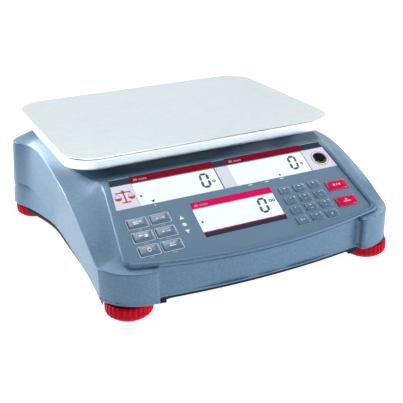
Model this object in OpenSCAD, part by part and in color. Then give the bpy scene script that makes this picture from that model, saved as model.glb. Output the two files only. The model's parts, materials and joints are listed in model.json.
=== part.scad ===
// Counting scale: a moulded housing with a sloped key panel, a lift-off steel pan on a load cell,
// and four screw-in levelling feet. Millimetres, +Z up, origin under the middle on the table top.

/* [Pan] */
// Width of the weighing pan, left to right
pan_w = 303; // [292:1:306]
// Depth of the weighing pan, front to back
pan_d = 227; // [218:1:228]
// Height of the pan's top above the table
pan_top = 117; // [116:0.5:120]
// Height of the pan's folded skirt
skirt_h = 12; // [10:0.5:12]
// Corner radius of the pan
pan_r = 34; // [24:1:38]
// Thickness of the pan's sheet
sheet = 1.2; // [1:0.1:1.5]

/* [Housing] */
// Height of the flat deck under the pan
deck_z = 97; // [96.5:0.5:97]
// Height of the side crease towards the back
crease_z = 88; // [84:1:90]
// Height of the front posts' top rim
rim_z = 48; // [46:1:50]
// Height of the moulded cover's lower edge
cover_z = 16; // [16:0.5:17]
// Thickness of the cover's wall
wall = 2.8; // [2.5:0.1:3]
// How far the front face bows forward in the middle
bow = 8; // [6:1:8]
// Half width of the housing at its waist
waist = 150; // [149:1:151]

/* [Key panel] */
// Slope of the key panel
tilt = 29; // [28:0.5:30]
// Half width of the printed overlay at its top edge
overlay_top = 118.4; // [117:0.2:119]
// Half width of the printed overlay at its lower corners
overlay_low = 129.5; // [129:0.1:130]
// Length of the overlay's sides up the slope
overlay_s = 94.3; // [93:0.1:95]
// Travel of a key when it is pressed
key_travel = 0.6; // [0.3:0.1:0.6]
// How far a key stands out of the overlay
key_proud = 1; // [0.8:0.1:1.2]

/* [Feet] */
// Radius of a foot's ribbed wheel
foot_r = 22.3; // [20:0.1:22.5]
// Distance of the front feet from the middle plane
front_foot_x = 130.3; // [129:0.1:131]
// Distance of the back feet from the middle plane
back_foot_x = 149.6; // [148:0.1:150]
// Height of the ribbed wheel's top
foot_top = 14.4; // [13.5:0.1:14.4]

/* [Hidden] */
$fn = 64;
eps = 0.5;                       // overshoot of a cut past the face it opens

// places in the plan
pan_y = 57.05;                   // middle of the pan support
pan_off = [2, -1];               // how the loose pan lies on it
front_foot_y = -144.2;
back_foot_y = 115.7;
post_r = foot_r + 10.7;          // front posts' outer corners
flare_r = foot_r + 1.7;          // back corners, round the back feet
post_x = 109;                    // inner edge of a front post
front_y = front_foot_y - foot_r - 3;    // front of the posts
face_y = front_y + 8.7;          // front face beside the posts
post_side = front_foot_x + foot_r + 3;  // outer side of the posts
corner = [post_side - post_r, front_y + post_r];
crease_half = waist + 4;         // half width at the crease
feet = [[-front_foot_x, front_foot_y], [front_foot_x, front_foot_y],
        [-back_foot_x, back_foot_y], [back_foot_x, back_foot_y]];

// key panel: s runs up the slope from the overlay's lower corners, h stands off it
panel_y = -152.75;
panel_z = 52.6;
overlay_t = 0.8;
bezel_w = 6.5;                   // raised border's width at the sides
bezel_front = 4.6;               // and along the front
bezel_h = 1.8;
front_sag = 12.9;                // bow of the overlay's lower edge
lens_low = 58.4;                 // lower edge of the two upper displays
lens_high = 85.8;
lcd_x = [-98, -10.3, 91.7];      // sides of the weight and unit weight windows
count_x = [-52.3, 35.3];
count_s = [14.8, 42];
level_at = [108.2, 72.4];
level_r = 7.8;
lamp_at = [[-66.3, 35.6], [-66.3, 27.4], [-66.3, 19.6]];
lamp_r = 1.3;
board_h = -8.2;                  // outer face of the display board
board_t = 1.6;
key_gap = 0.35;                  // space round a key in its opening
flange = 1.2;                    // how far a key's flange reaches past its cap

// key centres and sizes on the panel
digit_size = [12.6, 8.6];
function_size = [18.6, 9.8];
red_size = [23.4, 11.6];
digit_pitch = [17.05, 12.55];
digit_first = [48.6, 2.9];
digit_names = ["key_clear", "key_0", "key_point", "key_1", "key_2", "key_3",
               "key_4", "key_5", "key_6", "key_7", "key_8", "key_9"];
function_first = [-108.6, 39.8];
function_pitch = [22.4, 15.5];
red_at = [[107, 34.5], [106.6, 13.6]];
red_names = ["sample_key", "tare_key"];
digit_at = [for (i = [0:11]) [digit_first[0] + (i % 3) * digit_pitch[0],
                              digit_first[1] + floor(i / 3) * digit_pitch[1]]];
function_at = [for (i = [0:5]) [function_first[0] + (i % 2) * function_pitch[0],
                                function_first[1] - floor(i / 2) * function_pitch[1]]];

// inside
tray_z = 9;                      // underside of the base tray
tray_t = 3;
cell = [30, 130, 22];            // load cell: width, length, height
cell_z = 40;
cell_y = pan_y - cell[1] / 2;
cell_gap = 0.6;                  // space that lets the support sink
cell_front = cell_y + 16;        // middle of the fixed end
cell_back = cell_y + cell[1] - 16;      // middle of the free end
support_z = deck_z + 1.6;        // underside of the pan support
support_t = 3.4;
support_reach = [110, 78];       // pads from the pan's middle
stop_reach = [44, 50];           // overload stops from the pan's middle
door = [74, 105];                // battery door
door_at = [-100, 30];
battery_size = [70, 101, 47];
main_at = [86, 66];              // middle of the main board
main_size = [72, 80];
port_z = 34;                     // height of the sockets' middles
back_y = back_foot_y + flare_r;  // back wall
jack_x = 96;
data_x = 66;
case_screw_at = [[-118, -40], [118, -40], [-34, 128], [34, 128]];
board_screw_x = 124;
board_screw_s = [-1.4, 89.5];

function arc(c, r, a0, a1, n) = [for (i = [0:n]) let (a = a0 + (a1 - a0) * i / n)
  [c[0] + r * cos(a), c[1] + r * sin(a)]];
// right half of the housing's plan, its wall moved in by t, from the front's middle to the back's
function half_plan(t) = concat(
  [for (i = [0:8]) let (x = (post_x + t) * i / 8)
    [x, face_y - bow * (1 - pow(i / 8, 2)) + t]],
  [[post_x + t, front_y + t]],
  arc(corner, post_r - t, -90, 0, 10),
  [for (i = [1:6]) let (u = i / 6)
    [waist + (post_side - waist) * pow(1 - u, 2) - t, corner[1] + 84 * u]],
  [for (i = [0:8]) let (u = i / 8)
    [waist + (back_foot_x + flare_r - waist) * pow(u, 1.7) - t, 25 + 87 * u]],
  arc([back_foot_x, back_foot_y], flare_r - t, 0, 90, 10),
  [[0, back_y - t]]);
function plan(t) = let (h = half_plan(t), n = len(h))
  concat(h, [for (i = [n - 2:-1:1]) [-h[i][0], h[i][1]]]);
// overlay's outline, grown by g at the sides, by front below and by over at the top
function overlay_outline(g, front, over = 0) = concat(
  [[overlay_top + g, overlay_s + over], [-overlay_top - g, overlay_s + over]],
  [for (i = [0:16]) let (u = -1 + i / 8)
    [u * (overlay_low + g), -front_sag * (1 - u * u) - front]]);

// puts its children on the key panel at (x, s), h off its face
module on_panel(x = 0, s = 0, h = 0) {
  translate([0, panel_y, panel_z]) rotate([tilt, 0, 0]) translate([x, s, h]) children();
}
module block(size, r = 0) {      // a plate centred on its base, with round corners
  if (r > 0) linear_extrude(size[2]) round_rect([size[0], size[1]], r);
  else translate([-size[0] / 2, -size[1] / 2, 0]) cube(size);
}
module round_rect(size, r) {
  square([size[0] - 2 * r, size[1]], center = true);
  square([size[0], size[1] - 2 * r], center = true);
  for (x = [-1, 1], y = [-1, 1])
    translate([x * (size[0] / 2 - r), y * (size[1] / 2 - r)]) circle(r);
}
module across(half) {            // an outline in Y and Z, drawn out to both sides
  rotate([90, 0, 90]) linear_extrude(2 * half, center = true) children();
}
function panel_line(y) = panel_z + (y - panel_y) * tan(tilt) - overlay_t / cos(tilt);

// the cover's body, its wall moved in by t
module housing_body(t) {
  low = t > 0 ? -10 : cover_z;
  drop = t / cos(tilt);
  crest = deck_z - t;
  crest_y = panel_y + (crest - panel_line(panel_y) + drop) / tan(tilt);
  intersection() {
    translate([0, 0, low]) linear_extrude(deck_z - low) polygon(plan(t));
    union() {
      hull() {
        across(139 - t) polygon([[-180, low], [-180, panel_line(-180) - drop], [crest_y, crest],
                                 [150, crest], [150, low]]);
        across(crease_half - t) polygon([[-180, low], [-180, panel_line(-180) - 2 - drop],
                                 [-160, panel_line(-160) - 2 - drop], [-75, 66 - t],
                                 [-45, 77 - t], [-13, 84 - t], [30, crease_z - t],
                                 [150, crease_z - t], [150, low]]);
      }
      translate([-180, 25, low]) cube([360, 120, crease_z - t - low]);
      for (x = [-180, post_x - 3]) difference() {
        translate([x, -180, low]) cube([183 - post_x, 55, rim_z - t - low]);
        on_panel(0, 0, -overlay_t - t - 0.3) linear_extrude(60)
          polygon(overlay_outline(bezel_w - 1 + t, bezel_front - 1 + t));
      }
    }
  }
}
// openings in the key panel for every key, grown by g
module key_openings(g, h) {
  for (p = digit_at) on_panel(p[0], p[1], h) block([digit_size[0] + g, digit_size[1] + g, 12]);
  for (p = function_at)
    on_panel(p[0], p[1], h) block([function_size[0] + g, function_size[1] + g, 12]);
  for (p = red_at) on_panel(p[0], p[1], h) block([red_size[0] + g, red_size[1] + g, 12]);
}
module display_openings(g, h) {  // openings for the displays, the level and the lamps
  on_panel((lcd_x[0] + lcd_x[2]) / 2, (lens_low + lens_high) / 2, h)
    block([lcd_x[2] - lcd_x[0] + g, lens_high - lens_low + g, 12]);
  on_panel((count_x[0] + count_x[1]) / 2, (count_s[0] + count_s[1]) / 2, h)
    block([count_x[1] - count_x[0] + g, count_s[1] - count_s[0] + g, 12]);
  on_panel(level_at[0], level_at[1], h) cylinder(r = level_r + 1.6 + g / 2, h = 12);
  for (p = lamp_at) on_panel(p[0], p[1], h) cylinder(r = lamp_r + g / 2, h = 12);
}
module screw_posts() {           // posts under the deck and the panel that take the screws
  for (p = case_screw_at) translate([p[0], p[1], 24]) cylinder(r = 5, h = deck_z - wall / 2 - 24);
  for (x = [-1, 1], s = board_screw_s) on_panel(x * board_screw_x, s, board_h + 0.05)
    cylinder(r = 3.2, h = -board_h - overlay_t - wall / 2);
}
module top_housing() color([0.45, 0.52, 0.58]) difference() {
  union() {
    difference() {
      union() {
        housing_body(0);
        on_panel(0, 0, -3) linear_extrude(3 + bezel_h) difference() {
          polygon(overlay_outline(bezel_w, bezel_front));
          polygon(overlay_outline(0.2, 0.2, eps));
        }
      }
      housing_body(wall);
    }
    screw_posts();
  }
  key_openings(2 * key_gap, -8);
  display_openings(0.4, -8);
  translate([0, cell_back, deck_z - 2 * wall]) cylinder(r = 22, h = 4 * wall);
  for (x = [-1, 1], y = [-1, 1]) translate([x * stop_reach[0], pan_y + y * stop_reach[1], 80])
    cylinder(r = 6, h = 30);
  for (p = case_screw_at) translate([p[0], p[1], 20]) cylinder(r = 1.7, h = 24);
  for (x = [-1, 1], s = board_screw_s) on_panel(x * board_screw_x, s, board_h - 1)
    cylinder(r = 1.6, h = 6);
  translate([jack_x, back_y - 2 * wall, port_z]) rotate([-90, 0, 0]) cylinder(r = 6.3, h = 20);
  translate([data_x - 17, back_y - 2 * wall, port_z - 7]) cube([34, 20, 14]);
}
module front_band(a, b) intersection() { // a band behind the front face, from a to b mm in
  difference() {
    translate([0, a]) polygon(plan(0));
    translate([0, b]) polygon(plan(0));
  }
  translate([-100, -190]) square([200, 70]);
}
module base_tray() color([0.17, 0.18, 0.20]) difference() {
  union() {
    translate([0, 0, 13.2]) linear_extrude(2.6) front_band(wall + 0.4, 15.4);
    translate([0, 0, tray_z]) linear_extrude(tray_t) polygon(plan(2.4));
    translate([0, 0, tray_z]) linear_extrude(14) difference() {
      polygon(plan(wall + 0.4));
      polygon(plan(wall + 2.8));
    }
    intersection() {
      for (f = feet) translate([f[0], f[1], tray_z]) cylinder(r = foot_r + 5, h = 11);
      translate([0, 0, tray_z]) linear_extrude(11) polygon(plan(wall + 0.4));
    }
    for (f = feet) translate([f[0], f[1], 18]) cylinder(r = 9, h = 12);
    for (x = [-1, 1], y = [-1, 1])
      translate([x * stop_reach[0], pan_y + y * stop_reach[1], tray_z + 1])
        cylinder(r = 5.5, h = 72 - tray_z);
    for (p = case_screw_at) translate([p[0], p[1], tray_z + 1]) cylinder(r = 5, h = 22.8 - tray_z - 1);
    translate([0, 0, tray_z]) linear_extrude(5) front_band(12.6, 15.4);
  }
  translate([0, 0, -1]) linear_extrude(14.4) front_band(-5, 13);
  for (f = feet) {
    translate([f[0], f[1], -1]) cylinder(r = foot_r + 1.2, h = foot_top + 2.2);
    translate([f[0], f[1], 10]) cylinder(r = 5.65, h = 40);
  }
  for (x = [-1, 1]) translate([x * 132, face_y - 7, -1]) block([54, 20, foot_top + 2.2]);
  for (x = [-1, 1], y = [-1, 1])
    translate([x * stop_reach[0], pan_y + y * stop_reach[1], 50]) cylinder(r = 3, h = 50);
  for (p = case_screw_at) {
    translate([p[0], p[1], 0]) cylinder(r = 2, h = 40);
    translate([p[0], p[1], 0]) cylinder(r = 4.2, h = tray_z + 4);
  }
  translate([door_at[0], door_at[1], 0]) block([door[0] + 0.8, door[1] + 0.8, 30]);
  translate([0, cell_back, 0]) cylinder(r = 11.6, h = 30);
}
module keypad_overlay() color([0.35, 0.42, 0.50]) difference() {
  on_panel(0, 0, -overlay_t) linear_extrude(overlay_t) polygon(overlay_outline(0, 0));
  key_openings(2 * key_gap, -8);
  display_openings(0.4, -8);
}
module display_windows() color([0.85, 0.92, 0.95, 0.5]) {
  on_panel((lcd_x[0] + lcd_x[2]) / 2, (lens_low + lens_high) / 2, -2.4)
    block([lcd_x[2] - lcd_x[0], lens_high - lens_low, 2.2]);
  on_panel((count_x[0] + count_x[1]) / 2, (count_s[0] + count_s[1]) / 2, -2.4)
    block([count_x[1] - count_x[0], count_s[1] - count_s[0], 2.2]);
}
module lcd(x0, x1, s0, s1) color("white") // a glass cell in its tray, behind a window
  on_panel((x0 + x1) / 2, (s0 + s1) / 2, board_h + 0.1) {
    block([x1 - x0 - 1.2, s1 - s0 + 5, -wall - overlay_t - board_h - 0.3]);
  }
module lcd_weight() lcd(lcd_x[0], lcd_x[1], lens_low, lens_high);
module lcd_unit_weight() lcd(lcd_x[1], lcd_x[2], lens_low, lens_high);
module lcd_count() lcd(count_x[0], count_x[1], count_s[0], count_s[1]);
module level_vial() color([0.55, 0.75, 0.35]) on_panel(level_at[0], level_at[1], board_h + 0.3)
  cylinder(r = level_r - 0.2, h = -board_h - 0.9);
module level_ring() color([0.9, 0.9, 0.9]) on_panel(level_at[0], level_at[1], -3)
  rotate_extrude() translate([level_r, 0]) square([1.5, 3]);
module status_lamps() color("white") for (p = lamp_at) on_panel(p[0], p[1], board_h + 0.1)
  cylinder(r = lamp_r, h = -board_h - 0.3);
module keypad_mat() color([0.30, 0.30, 0.32]) {
  on_panel(-97.4, 24.3, board_h + 0.1) block([45, 44, 2]);
  on_panel(81, 21.5, board_h + 0.1) block([79, 48, 2]);
}
module display_board() color([0.10, 0.35, 0.20]) difference() {
  union() {
    on_panel(0, 44, board_h - board_t) block([256, 98, board_t]);
    on_panel(-20, 60, board_h - board_t - 3) block([26, 26, 3.1]);
    on_panel(60, 66, board_h - board_t - 6) block([40, 8, 6.1]);
  }
  for (x = [-1, 1], s = board_screw_s) on_panel(x * board_screw_x, s, -15) cylinder(r = 1.8, h = 10);
}
module board_screws() color([0.75, 0.75, 0.75])
  for (x = [-1, 1], s = board_screw_s) on_panel(x * board_screw_x, s, board_h - board_t - 2) {
    cylinder(r = 3, h = 2);
    cylinder(r = 1.5, h = 5.5);
  }
module ribbon_cable() color([0.6, 0.6, 0.62])
  translate([60, 0, 0]) across(9) polygon([[-87.5, 70.4], [-80, 55], [20, 55], [36.8, 45],
    [36.8, 33.1], [36, 33.1], [36, 44.4], [19.8, 54.2], [-80.4, 54.2], [-88.3, 70]]);
module main_board() color([0.10, 0.35, 0.20]) {
  translate([main_at[0], main_at[1], 25]) block([main_size[0], main_size[1], 1.6]);
  translate([60, 36.4, 26.6]) block([20, 6, 6.4]);
  translate([104, 56, 26.6]) block([26, 22, 9]);
  translate([78, 76, 26.6]) block([14, 14, 1.6]);
  translate([106, 88, 26.6]) cylinder(r = 6, h = 16);
  for (x = [-1, 1], y = [-1, 1])
    translate([main_at[0] + x * (main_size[0] / 2 - 5), main_at[1] + y * (main_size[1] / 2 - 5),
               tray_z + tray_t]) cylinder(r = 3, h = 25 - tray_z - tray_t);
}
module power_jack() color([0.08, 0.08, 0.09])
  translate([jack_x, back_y - 0.6, port_z]) rotate([90, 0, 0]) {
    difference() {
      cylinder(r = 6, h = 14);
      translate([0, 0, -eps]) cylinder(r = 3.2, h = 10.5);
    }
    cylinder(r = 1.05, h = 11);
  }
module data_port() color([0.75, 0.76, 0.78]) translate([data_x, back_y - 0.4, port_z])
  rotate([90, 0, 0]) {
    difference() {
      translate([0, 0, 0]) block([31, 12.5, 10]);
      translate([0, 0, -eps]) block([17, 8.4, 6]);
    }
    for (i = [0:4]) translate([-5.5 + 2.75 * i, 1.4, 1]) cylinder(r = 0.5, h = 6);
    for (i = [0:3]) translate([-4.1 + 2.75 * i, -1.4, 1]) cylinder(r = 0.5, h = 6);
    translate([0, 0, 9.9]) block([20, 10, 3]);
  }
module battery() color([0.12, 0.12, 0.13]) translate([door_at[0], door_at[1], 13.2]) {
  block(battery_size);
  for (x = [-20, 20]) translate([x, -40, battery_size[2] - 0.1]) block([4.8, 0.8, 6]);
}
module battery_door() color([0.17, 0.18, 0.20]) translate([door_at[0], door_at[1], tray_z]) {
  difference() {
    block([door[0], door[1], 2.2]);
    translate([0, door[1] / 2 - 10, -eps]) block([22, 8, 1.5]);
  }
  translate([0, -door[1] / 2 + 4, 2.1]) block([30, 6, 1.6]);
}
module load_cell_bracket() color([0.62, 0.63, 0.65]) difference() {
  union() {
    translate([0, pan_y, tray_z + tray_t]) block([60, 100, 6]);
    translate([0, cell_front, tray_z + tray_t + 5.9]) block([36, 30, cell_z - tray_z - tray_t - 5.9]);
  }
  for (y = [-7, 7]) translate([0, cell_front + y, 0]) cylinder(r = 2.6, h = 60);
  translate([0, cell_back, 0]) cylinder(r = 11.6, h = 30);
}
module load_cell() color([0.80, 0.81, 0.83]) difference() {
  translate([0, pan_y, cell_z]) block([cell[0], cell[1], cell[2]]);
  for (y = [-14, 14]) translate([-20, pan_y + y, cell_z + cell[2] / 2]) rotate([0, 90, 0])
    cylinder(r = 8.5, h = 40);
  translate([-20, pan_y - 14, cell_z + cell[2] / 2 - 3]) cube([40, 28, 6]);
  for (y = [-7, 7]) {
    translate([0, cell_front + y, 0]) cylinder(r = 2.6, h = 90);
    translate([0, cell_back + y, 0]) cylinder(r = 2.6, h = 90);
  }
}
module load_cell_screws() color([0.25, 0.25, 0.26]) for (y = [-7, 7])
  translate([0, cell_front + y, 24]) {
    cylinder(r = 2.5, h = cell_z + cell[2] - 24 + 0.1);
    translate([0, 0, cell_z + cell[2] - 24]) cylinder(r = 4.5, h = 5);
  }
module overload_stops() color([0.75, 0.75, 0.76]) for (x = [-1, 1], y = [-1, 1])
  translate([x * stop_reach[0], pan_y + y * stop_reach[1], 56]) {
    cylinder(r = 2.9, h = support_z - 0.7 - 56);
    translate([0, 0, 73.2 - 56]) cylinder(r = 5.4, h = 4, $fn = 6);
  }
module pan_support() color([0.70, 0.71, 0.73]) difference() {
  union() {
    translate([0, cell_back, cell_z + cell[2] + cell_gap])
      cylinder(r = 14, h = support_z - cell_z - cell[2]);
    translate([0, pan_y, support_z]) block([180, 130, support_t], 20);
    for (x = [-1, 1], y = [-1, 1]) translate([x * support_reach[0], pan_y + y * support_reach[1], 0]) {
      translate([0, 0, support_z]) cylinder(r = 11, h = 8);
      translate([-x * 24, -y * 14, support_z]) rotate([0, 0, x * y * 33]) block([64, 16, support_t]);
    }
  }
  for (y = [-7, 7]) translate([0, cell_back + y, cell_z + 10]) {
    cylinder(r = 2.6, h = 80);
    translate([0, 0, support_z - cell_z - 12]) cylinder(r = 4.8, h = 20);
  }
}
module support_screws() color([0.25, 0.25, 0.26]) for (y = [-7, 7])
  translate([0, cell_back + y, cell_z + 2]) {
    cylinder(r = 2.5, h = support_z - cell_z - 3);
    translate([0, 0, support_z - cell_z - 4]) cylinder(r = 4.5, h = 4.5);
  }
module support_pads() color([0.12, 0.12, 0.13]) for (x = [-1, 1], y = [-1, 1])
  translate([x * support_reach[0], pan_y + y * support_reach[1], support_z + 8])
    cylinder(r = 9, h = pan_top - sheet - support_z - 8);
module weighing_pan() color([0.86, 0.89, 0.91]) translate([pan_off[0], pan_y + pan_off[1], pan_top - skirt_h])
  difference() {
    block([pan_w, pan_d, skirt_h], pan_r);
    translate([0, 0, -eps]) block([pan_w - 2 * sheet, pan_d - 2 * sheet, skirt_h - sheet + eps],
                                  pan_r - sheet);
  }
module transport_lock() color([0.75, 0.12, 0.16]) translate([0, cell_back, tray_z + 0.4]) {
  difference() {
    cylinder(r = 11, h = 3);
    translate([0, 0, -eps]) block([14, 2.4, 2]);
  }
  cylinder(r = 5, h = cell_z - tray_z - 1.2);
  translate([0, 0, cell_z - tray_z - 7.2]) block([22, 8, 6]);
}
module case_screws() color([0.70, 0.70, 0.72]) for (p = case_screw_at)
  translate([p[0], p[1], tray_z + 1.4]) {
    cylinder(r = 3.9, h = 2.6);
    cylinder(r = 1.6, h = 26);
  }
module foot_inserts() color([0.78, 0.62, 0.30]) for (f = feet)
  translate([f[0], f[1], foot_top + 3.4]) difference() {
    cylinder(r = 5.6, h = 11);
    translate([0, 0, -eps]) cylinder(r = 4.05, h = 20);
  }
module foot_wheel(f) color([0.75, 0.08, 0.18]) translate([f[0], f[1], 0]) {
  difference() {
    translate([0, 0, 2]) cylinder(r = foot_r, h = foot_top - 2);
    translate([0, 0, 1]) cylinder(r = foot_r - 3.5, h = 4);
    for (i = [0:27]) rotate([0, 0, i * 360 / 28]) translate([foot_r + 0.9, 0, 1])
      cylinder(r = 1.5, h = 20, $fn = 24);
  }
  translate([0, 0, foot_top - 1]) cylinder(r = 4, h = 15);
}
module foot_pad(f) color([0.10, 0.10, 0.11]) translate([f[0], f[1], 0]) {
  cylinder(r = foot_r - 4, h = 4.7);
}
// a key: the cap through the panel, and the flange that keeps it in
module key_piece(at, size, tint) color(tint) on_panel(at[0], at[1], 0) {
  translate([0, 0, -5.2]) block([size[0], size[1], 5.2 + key_proud]);
  translate([0, 0, -5.2]) block([size[0] + 2 * flange, size[1] + 2 * flange, 1.2]);
}

top_housing();
base_tray();
keypad_overlay();
display_windows();
lcd_weight();
lcd_unit_weight();
lcd_count();
level_vial();
level_ring();
status_lamps();
keypad_mat();
display_board();
board_screws();
ribbon_cable();
main_board();
power_jack();
data_port();
battery();
battery_door();
load_cell_bracket();
load_cell();
load_cell_screws();
overload_stops();
pan_support();
support_screws();
support_pads();
weighing_pan();
transport_lock();
case_screws();
foot_inserts();
corners = ["fl", "fr", "bl", "br"];
for (i = [0:3]) {
  foot_wheel(feet[i]);
  foot_pad(feet[i]);
}
for (i = [0:11]) key_piece(digit_at[i], digit_size, [0.42, 0.50, 0.58]);
for (i = [0:5]) key_piece(function_at[i], function_size, [0.42, 0.50, 0.58]);
for (i = [0:1]) key_piece(red_at[i], red_size, [0.85, 0.10, 0.25]);
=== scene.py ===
import json
import math

import bmesh
import bpy
from mathutils import Matrix, Vector


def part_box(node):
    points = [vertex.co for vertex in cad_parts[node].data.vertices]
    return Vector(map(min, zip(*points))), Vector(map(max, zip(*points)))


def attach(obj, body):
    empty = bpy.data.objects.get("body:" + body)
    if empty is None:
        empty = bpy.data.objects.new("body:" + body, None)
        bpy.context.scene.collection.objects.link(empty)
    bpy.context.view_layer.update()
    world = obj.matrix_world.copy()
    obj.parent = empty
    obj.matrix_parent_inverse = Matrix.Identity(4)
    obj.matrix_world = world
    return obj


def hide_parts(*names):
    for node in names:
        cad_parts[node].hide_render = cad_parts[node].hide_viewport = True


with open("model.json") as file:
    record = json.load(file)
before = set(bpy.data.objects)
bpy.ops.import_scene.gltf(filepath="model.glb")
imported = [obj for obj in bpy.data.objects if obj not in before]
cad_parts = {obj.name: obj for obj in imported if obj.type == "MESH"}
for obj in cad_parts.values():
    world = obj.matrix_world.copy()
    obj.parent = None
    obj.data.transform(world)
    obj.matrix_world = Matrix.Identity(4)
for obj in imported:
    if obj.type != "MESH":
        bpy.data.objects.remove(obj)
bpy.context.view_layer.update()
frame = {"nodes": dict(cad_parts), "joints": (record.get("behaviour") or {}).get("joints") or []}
nodes = frame["nodes"]
scene = bpy.context.scene
mm = 0.001
print("frame loaded:", len(nodes), "nodes")


# measures taken from the frame, in millimetres
def nodeBox(name):
    low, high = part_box(name)
    return [v / mm for v in low], [v / mm for v in high]


def nodeMiddle(name):
    low, high = nodeBox(name)
    return [(a + b) / 2 for a, b in zip(low, high)]


def joint(name):
    return [j for j in frame["joints"] if j["name"] == name][0]


pressAxis = Vector(joint("key_5_press")["axis"]).normalized()  # into the panel
panelUp = Vector((0, -pressAxis.z, pressAxis.y))  # up the slope
panelOut = -pressAxis
overlayPoints = [v.co / mm for v in nodes["keypad_overlay"].data.vertices]
overlayTopH = max(p.dot(panelOut) for p in overlayPoints)
overlayFace = [p for p in overlayPoints if p.dot(panelOut) > overlayTopH - 0.1]
overlayCorner = max(overlayFace, key=lambda p: p.x)
panelOrigin = Vector((0, overlayCorner.y, overlayCorner.z))
panelMatrix = Matrix.Translation(panelOrigin) @ Matrix((
    (1, 0, 0, 0),
    (0, panelUp.y, panelOut.y, 0),
    (0, panelUp.z, panelOut.z, 0),
    (0, 0, 0, 1)))
overlay = {
    "low": overlayCorner.x,  # half width at the lower corners
    "top": max(p.x for p in overlayPoints if (p - panelOrigin).dot(panelUp) > 90),
    "length": max((p - panelOrigin).dot(panelUp) for p in overlayFace),
    "sag": -min((p - panelOrigin).dot(panelUp) for p in overlayFace),
}


def planeZ(y):  # height of the overlay's face at y
    return panelOrigin.z + (y - panelOrigin.y) * panelUp.z / panelUp.y


def clamp01(v):
    return max(0.0, min(1.0, v))


def ease(v):
    v = clamp01(v)
    return v * v * (3 - 2 * v)


def lerp(a, b, t):
    return a + (b - a) * t


def alongCurve(points, at):  # smooth curve through (at, value) pairs
    if at <= points[0][0]:
        return points[0][1]
    for k in range(len(points) - 1):
        a, b = points[k], points[k + 1]
        if at <= b[0]:
            before = points[max(k - 1, 0)]
            after = points[min(k + 2, len(points) - 1)]
            span = b[0] - a[0]
            slopeA = (b[1] - before[1]) / max(b[0] - before[0], 1e-6)
            slopeB = (after[1] - a[1]) / max(after[0] - a[0], 1e-6)
            t = (at - a[0]) / span
            return ((2 * t**3 - 3 * t**2 + 1) * a[1] + (t**3 - 2 * t**2 + t) * slopeA * span
                    + (3 * t**2 - 2 * t**3) * b[1] + (t**3 - t**2) * slopeB * span)
    return points[-1][1]


# mesh helpers
def meshFrom(name, points, faces, matrix=None, sharp=35):
    mesh = bpy.data.meshes.new(name)
    if matrix:
        points = [matrix @ Vector(p) for p in points]
    mesh.from_pydata([Vector(p) * mm for p in points], [], faces)
    mesh.update()
    bm = bmesh.new()
    bm.from_mesh(mesh)
    bmesh.ops.remove_doubles(bm, verts=bm.verts, dist=1e-6)
    bmesh.ops.recalc_face_normals(bm, faces=bm.faces)
    bm.to_mesh(mesh)
    bm.free()
    mesh.shade_smooth()
    mesh.set_sharp_from_angle(angle=math.radians(sharp))
    return mesh


def makePiece(name, mesh, material, body, standsFor=()):
    piece = bpy.data.objects.new(name, mesh)
    scene.collection.objects.link(piece)
    if material:
        mesh.materials.append(material)
    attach(piece, body)
    if standsFor:
        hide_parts(*standsFor)
    return piece


def roundRect(width, height, radius, steps=6):
    radius = min(radius, width / 2 - 0.01, height / 2 - 0.01)
    points = []
    for cx, cy, start in ((1, 1, 0), (-1, 1, 90), (-1, -1, 180), (1, -1, 270)):
        for k in range(steps + 1):
            a = math.radians(start + 90 * k / steps)
            points.append((cx * (width / 2 - radius) + radius * math.cos(a),
                           cy * (height / 2 - radius) + radius * math.sin(a)))
    return points


def stackLoops(loops, capFirst=True, capLast=True):  # loops of 3-D points with the same count
    points = [p for loop in loops for p in loop]
    count = len(loops[0])
    faces = []
    for k in range(len(loops) - 1):
        for i in range(count):
            j = (i + 1) % count
            faces.append((k * count + i, k * count + j, (k + 1) * count + j, (k + 1) * count + i))
    if capFirst:
        faces.append(tuple(reversed(range(count))))
    if capLast:
        faces.append(tuple(range((len(loops) - 1) * count, len(loops) * count)))
    return points, faces


def rectStack(levels, at=(0, 0), steps=6):  # levels of (width, height, radius, z)
    return stackLoops([[(x + at[0], y + at[1], z) for x, y in roundRect(w, h, r, steps)]
                       for w, h, r, z in levels])


def turned(profile, at=(0, 0, 0), steps=48):  # a profile of (radius, z) turned about an upright axis
    loops = [[(at[0] + r * math.cos(2 * math.pi * i / steps), at[1] + r * math.sin(2 * math.pi * i / steps),
               at[2] + z) for i in range(steps)] for r, z in profile]
    return stackLoops(loops)


def joined(shapes):
    points, faces = [], []
    for p, f in shapes:
        base = len(points)
        points += list(p)
        faces += [tuple(v + base for v in face) for face in f]
    return points, faces


def flatShape(outline, low, high):  # a thin plate of any outline
    return stackLoops([[(x, y, low) for x, y in outline], [(x, y, high) for x, y in outline]])


def frameShape(outer, inner, low, high):  # a thin frame between two outlines of the same count
    loops = [[(x, y, z) for x, y in line] for line, z in
             ((inner, low), (outer, low), (outer, high), (inner, high), (inner, low))]
    return stackLoops(loops, False, False)


def softenEdges(piece, width, segments=2, angle=32):
    weld = piece.modifiers.new("weld", "WELD")
    weld.merge_threshold = 1e-6
    bevel = piece.modifiers.new("edge", "BEVEL")
    bevel.width = width * mm
    bevel.segments = segments
    bevel.limit_method = "ANGLE"
    bevel.angle_limit = math.radians(angle)
    bevel.harden_normals = True
    return bevel


# shader node groups
def newGroup(name, inputs, outputs):
    group = bpy.data.node_groups.new(name, "ShaderNodeTree")
    for label, kind, value in inputs:
        socket = group.interface.new_socket(name=label, in_out="INPUT", socket_type="NodeSocket" + kind)
        socket.default_value = value
    for label, kind in outputs:
        group.interface.new_socket(name=label, in_out="OUTPUT", socket_type="NodeSocket" + kind)
    return group, group.nodes.new("NodeGroupInput"), group.nodes.new("NodeGroupOutput")


def addNode(tree, kind, values=None, **settings):
    node = tree.nodes.new("ShaderNode" + kind)
    for key, value in settings.items():
        setattr(node, key, value)
    for key, value in (values or {}).items():
        node.inputs[key].default_value = value
    return node


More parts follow.
